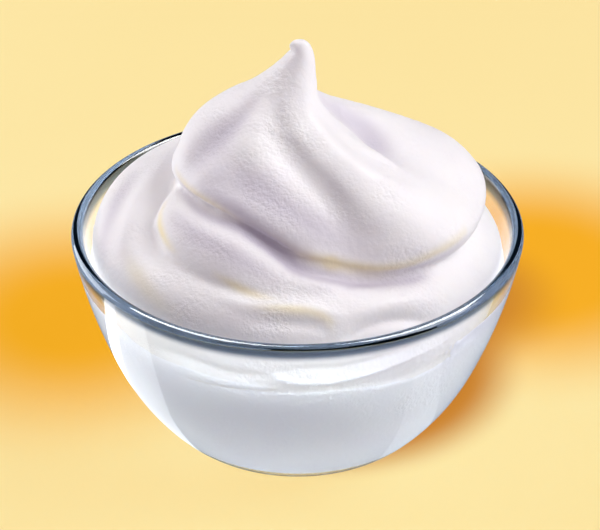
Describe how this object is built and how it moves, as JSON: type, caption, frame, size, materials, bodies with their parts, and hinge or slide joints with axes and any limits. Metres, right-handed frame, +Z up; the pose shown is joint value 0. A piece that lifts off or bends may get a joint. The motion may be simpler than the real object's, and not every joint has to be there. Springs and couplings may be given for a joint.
{
  "type": "bowl of whipped cream",
  "caption": "Small clear glass bowl heaped with whipped cream, folded in soft tiers and drawn up to a hooked tip.",
  "frame": {"origin": "middle of the bowl's flat foot, on the surface that it stands on", "axes": "+Z up along the bowl's axis; -Y is the side shown, towards which the top fold of the cream hangs; +X is to the right of that view, where the dollop's low lobe lies"},
  "size_m": [0.12, 0.12, 0.1139],
  "materials": {
    "clear_glass": "clear, polished, faintly blue",
    "whipped_cream": "soft white foam, satin"
  },
  "bodies": {
    "root": {"glass_bowl": "clear_glass", "cream": "whipped_cream"}
  },
  "joints": []
}
